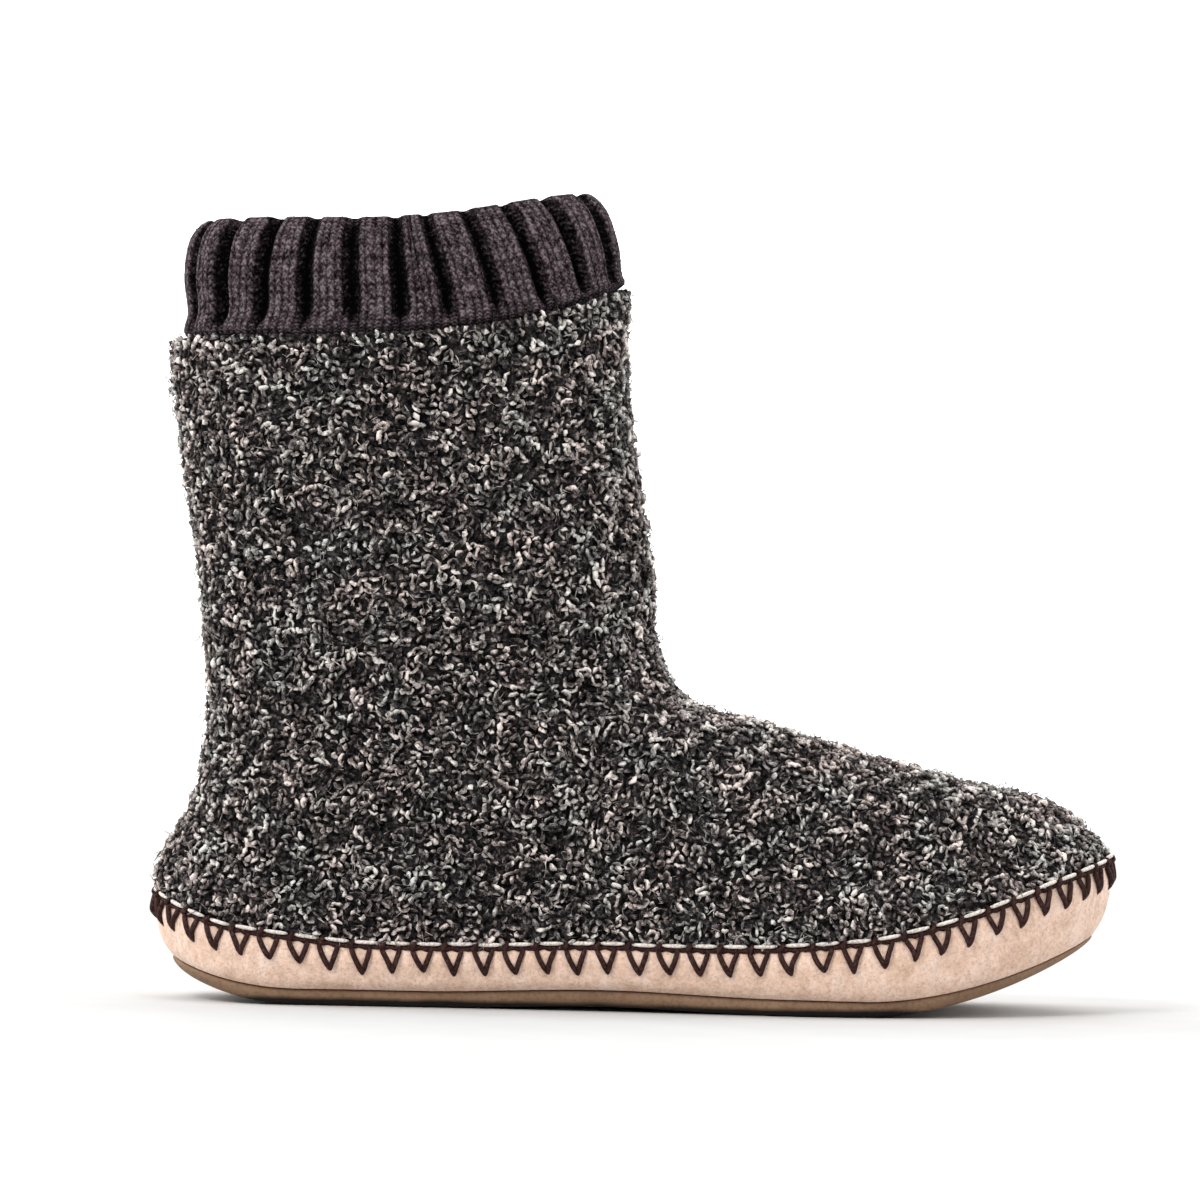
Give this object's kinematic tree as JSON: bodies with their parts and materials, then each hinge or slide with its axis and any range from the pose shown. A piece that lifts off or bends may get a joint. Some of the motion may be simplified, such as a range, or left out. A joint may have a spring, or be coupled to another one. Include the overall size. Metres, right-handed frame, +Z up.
{
  "type": "mukluk slipper boot",
  "caption": "Knitted mukluk slipper boot, hollow and open at its ribbed cuff, with a whipstitched suede wrap and a thin rubber sole.",
  "frame": {"origin": "on the floor under the middle of the boot's length and width", "axes": "+X from heel to toe, +Y to the wearer's left, +Z up; the boot's outer side faces -Y"},
  "size_m": [0.269, 0.0994, 0.228],
  "materials": {
    "sole_rubber": "matt tan rubber",
    "pale_suede": "napped suede",
    "insole_felt": "felt",
    "marled_knit": "curly marled wool knit",
    "rib_knit": "ribbed knit",
    "whipstitch_yarn": "brown waxed yarn",
    "running_thread": "off-white thread"
  },
  "bodies": {
    "root": {"outsole": "sole_rubber", "suede_wrap": "pale_suede", "insole": "insole_felt", "upper": "marled_knit", "cuff": "rib_knit"}
  },
  "joints": []
}
